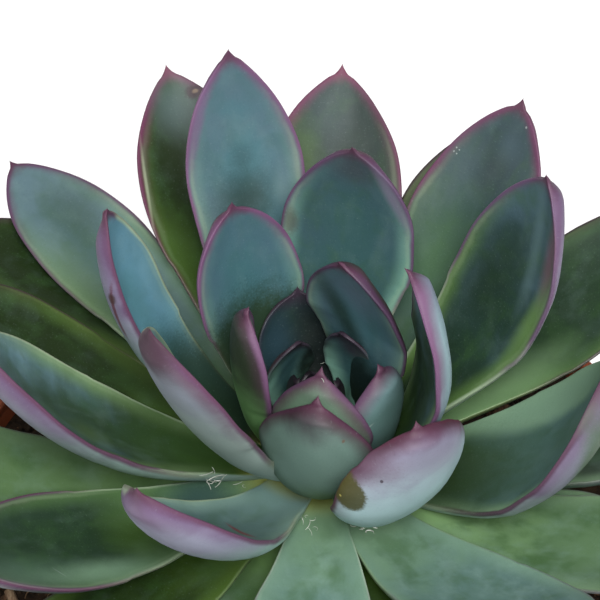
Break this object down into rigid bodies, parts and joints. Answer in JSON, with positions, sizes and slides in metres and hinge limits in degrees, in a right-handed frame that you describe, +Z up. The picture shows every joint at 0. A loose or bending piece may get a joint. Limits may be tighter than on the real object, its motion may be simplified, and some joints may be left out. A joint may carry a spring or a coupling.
{
  "type": "potted succulent",
  "caption": "Rosette succulent with thick, cupped, pointed blue-green leaves edged in mauve, growing from dark soil in a plain round terracotta-coloured plastic pot.",
  "frame": {"origin": "centre of the pot's flat base, on the surface that it stands on", "axes": "+Z up; +X to the right and +Y away from the viewer, as seen from the pictured side"},
  "size_m": [0.1614, 0.1416, 0.1637],
  "materials": {
    "leaf_outer": "waxy, dull green with a thin pale bloom, mauve margins",
    "leaf_middle": "waxy, blue-green bloom, mauve margins",
    "leaf_inner": "waxy, blue bloom, mauve margins and a maroon point",
    "bud": "waxy, dark blue-green",
    "stem": "rough, yellow-green to brown",
    "soil": "crumbly peat, near-black brown, dry and matt",
    "pot": "satin, orange-brown"
  },
  "bodies": {
    "root": {"pot": "pot", "soil": "soil", "stem": "stem", "heart": "bud", "leaf_01": "leaf_outer", "leaf_02": "leaf_outer", "leaf_03": "leaf_outer", "leaf_04": "leaf_outer", "leaf_05": "leaf_outer", "leaf_06": "leaf_outer", "leaf_07": "leaf_outer", "leaf_08": "leaf_outer", "leaf_09": "leaf_outer", "leaf_10": "leaf_outer", "leaf_11": "leaf_outer", "leaf_12": "leaf_outer", "leaf_13": "leaf_outer", "leaf_14": "leaf_outer", "leaf_15": "leaf_middle", "leaf_16": "leaf_middle", "leaf_17": "leaf_middle", "leaf_18": "leaf_middle", "leaf_19": "leaf_middle", "leaf_20": "leaf_middle", "leaf_21": "leaf_middle", "leaf_22": "leaf_middle", "leaf_23": "leaf_middle", "leaf_24": "leaf_middle", "leaf_25": "leaf_middle", "leaf_26": "leaf_inner", "leaf_27": "leaf_inner", "leaf_28": "leaf_inner", "leaf_29": "leaf_inner", "leaf_30": "leaf_inner", "leaf_31": "leaf_inner", "leaf_32": "leaf_inner", "leaf_33": "leaf_inner", "leaf_34": "leaf_inner", "leaf_35": "leaf_inner", "leaf_36": "leaf_inner", "leaf_37": "leaf_inner"}
  },
  "joints": []
}
